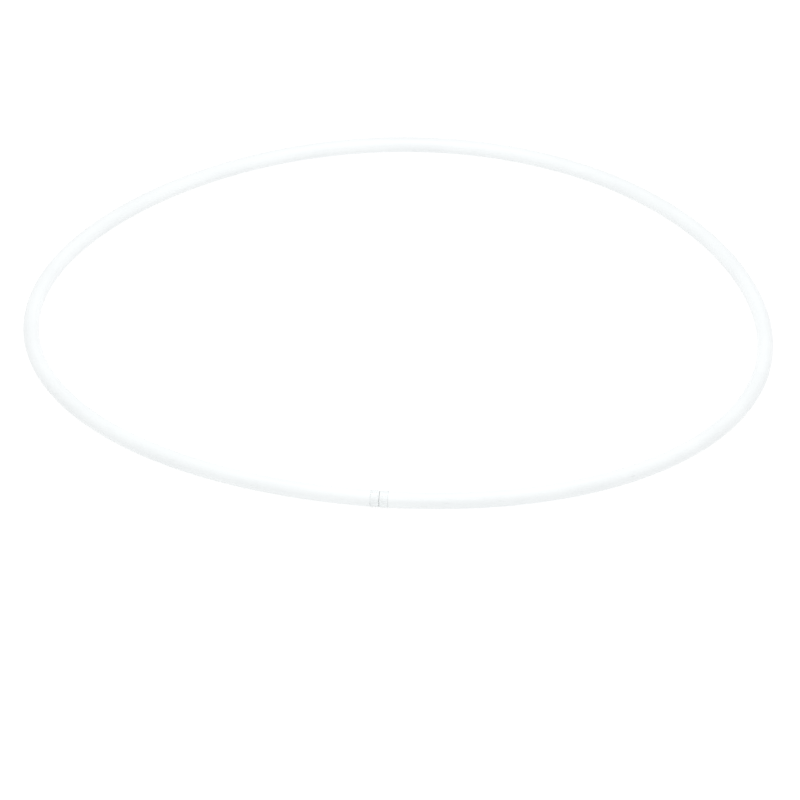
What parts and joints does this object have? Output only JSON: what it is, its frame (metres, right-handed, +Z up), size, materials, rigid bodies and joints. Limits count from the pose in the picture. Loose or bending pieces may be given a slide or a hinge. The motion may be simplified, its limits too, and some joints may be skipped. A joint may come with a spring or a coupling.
{
  "type": "rhythmic hoop",
  "caption": "Slim round-tube gymnastics hoop in plain white plastic, lying flat, with its ends joined by an inner ribbed plug, small pins and a turn of clear tape.",
  "frame": {"origin": "on the floor under the middle of the hoop's outline, with the hoop lying flat", "axes": "+Z up out of the hoop's plane; -Y towards the flatter stretch that holds the joint; +X to the right seen from there"},
  "size_m": [0.8522, 0.8498, 0.0186],
  "materials": {
    "tube": "satin white, fine lengthwise extrusion lines",
    "plug": "moulded, natural white",
    "tape": "clear glossy film",
    "pin": "zinc plated"
  },
  "bodies": {
    "root": {"hoop_tube": "tube", "joint_plug": "plug", "joint_tape": "tape", "joint_pin_left": "pin", "joint_pin_right": "pin"}
  },
  "joints": []
}
